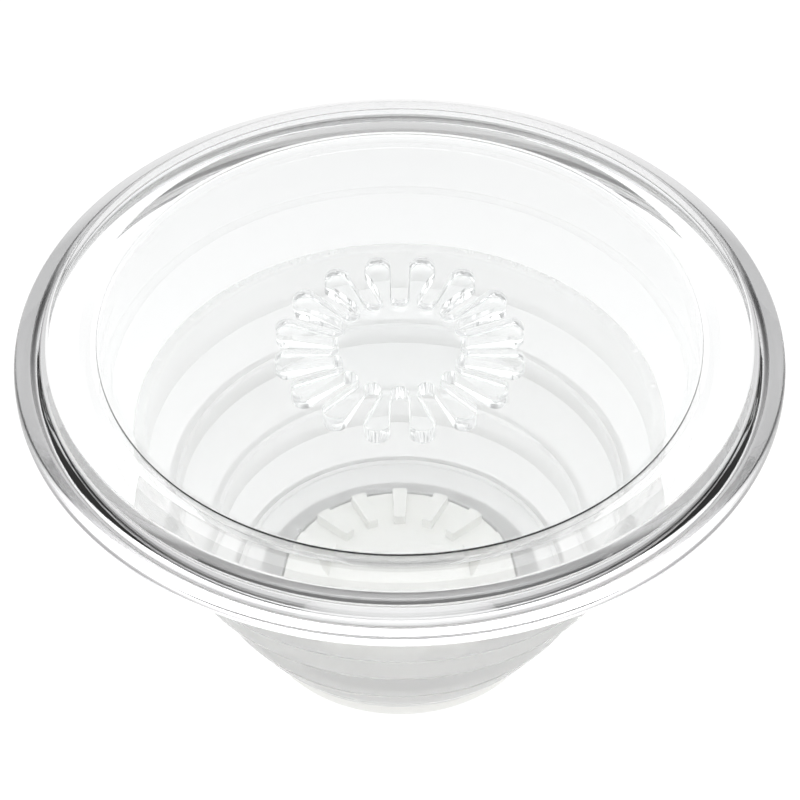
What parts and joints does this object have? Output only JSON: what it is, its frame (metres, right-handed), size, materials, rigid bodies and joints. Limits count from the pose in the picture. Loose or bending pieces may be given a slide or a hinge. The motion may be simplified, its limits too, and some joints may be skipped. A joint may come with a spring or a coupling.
{
  "type": "collapsible phone grip",
  "caption": "Clear round button on a translucent folding accordion with a hard ribbed foot; pulls out as a finger grip for a phone and presses flat.",
  "frame": {"origin": "middle of the foot's underside, where the grip stands", "axes": "+Z is the axis of the grip, up through the button; +X runs through one pair of entry notches in the foot's socket"},
  "size_m": [0.04, 0.04, 0.0209],
  "materials": {
    "clear_button": "clear polished polycarbonate",
    "clear_inlay": "clear polished sheet",
    "soft_accordion": "translucent milky thermoplastic elastomer, satin",
    "foot_plastic": "ivory moulded plastic, fine satin"
  },
  "bodies": {
    "foot": {"foot_base": "foot_plastic", "foot_key_plate": "foot_plastic", "accordion_foot_wall": "soft_accordion", "accordion_foot_web": "soft_accordion"},
    "lower_ring": {"accordion_lower_wall": "soft_accordion", "accordion_lower_web": "soft_accordion"},
    "middle_ring": {"accordion_middle_wall": "soft_accordion", "accordion_upper_web": "soft_accordion"},
    "upper_ring": {"accordion_upper_wall": "soft_accordion", "accordion_neck_web": "soft_accordion"},
    "button": {"button": "clear_button", "face_inlay": "clear_inlay", "accordion_neck": "soft_accordion"}
  },
  "joints": [
    {"name": "foot_fold", "type": "slide", "parent": "foot", "child": "lower_ring", "axis": [0, 0, -1], "range_m": [0, 0.0038], "deforming": ["accordion_foot_web"]},
    {"name": "lower_fold", "type": "slide", "parent": "lower_ring", "child": "middle_ring", "axis": [0, 0, -1], "range_m": [0, 0.0036], "deforming": ["accordion_lower_web"]},
    {"name": "upper_fold", "type": "slide", "parent": "middle_ring", "child": "upper_ring", "axis": [0, 0, -1], "range_m": [0, 0.0036], "deforming": ["accordion_upper_web"]},
    {"name": "neck_fold", "type": "slide", "parent": "upper_ring", "child": "button", "axis": [0, 0, -1], "range_m": [0, 0.0052], "deforming": ["accordion_neck_web"]}
  ],
  "couplings": [
    {"joint": "lower_fold", "follows": "foot_fold", "ratio": 0.94737},
    {"joint": "upper_fold", "follows": "foot_fold", "ratio": 0.94737},
    {"joint": "neck_fold", "follows": "foot_fold", "ratio": 1.3684}
  ]
}
